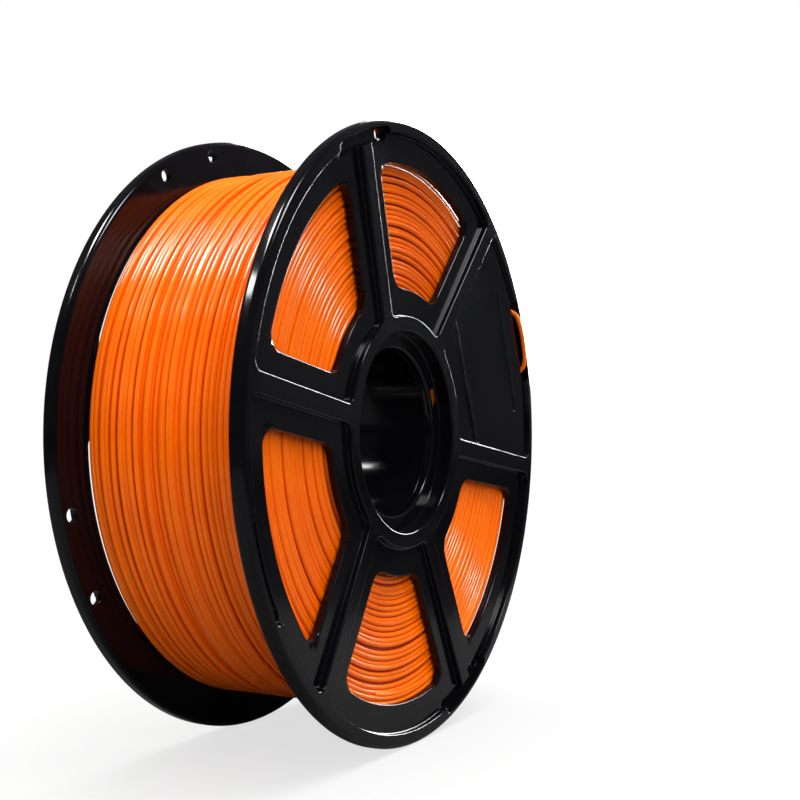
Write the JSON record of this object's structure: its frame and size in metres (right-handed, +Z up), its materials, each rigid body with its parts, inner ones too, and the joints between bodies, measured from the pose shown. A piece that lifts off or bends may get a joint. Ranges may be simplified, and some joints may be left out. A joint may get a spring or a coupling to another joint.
{
  "type": "filament spool",
  "caption": "Round plastic spool with windowed flanges and a hollow hub, wound full of thin printing filament.",
  "frame": {"origin": "on the surface the spool stands on, below the middle of its width and its axis", "axes": "+X along the spool's axis, out of the front flange; +Z up; +Y completes the frame"},
  "size_m": [0.069, 0.2, 0.2],
  "materials": {
    "black_plastic": "glossy",
    "orange_filament": "glossy"
  },
  "bodies": {
    "root": {"front_flange": "black_plastic", "rear_flange": "black_plastic", "hub_barrel": "black_plastic", "bore_sleeve": "black_plastic", "filament_winding": "orange_filament", "filament_tail": "orange_filament", "filament_start": "orange_filament"}
  },
  "joints": []
}
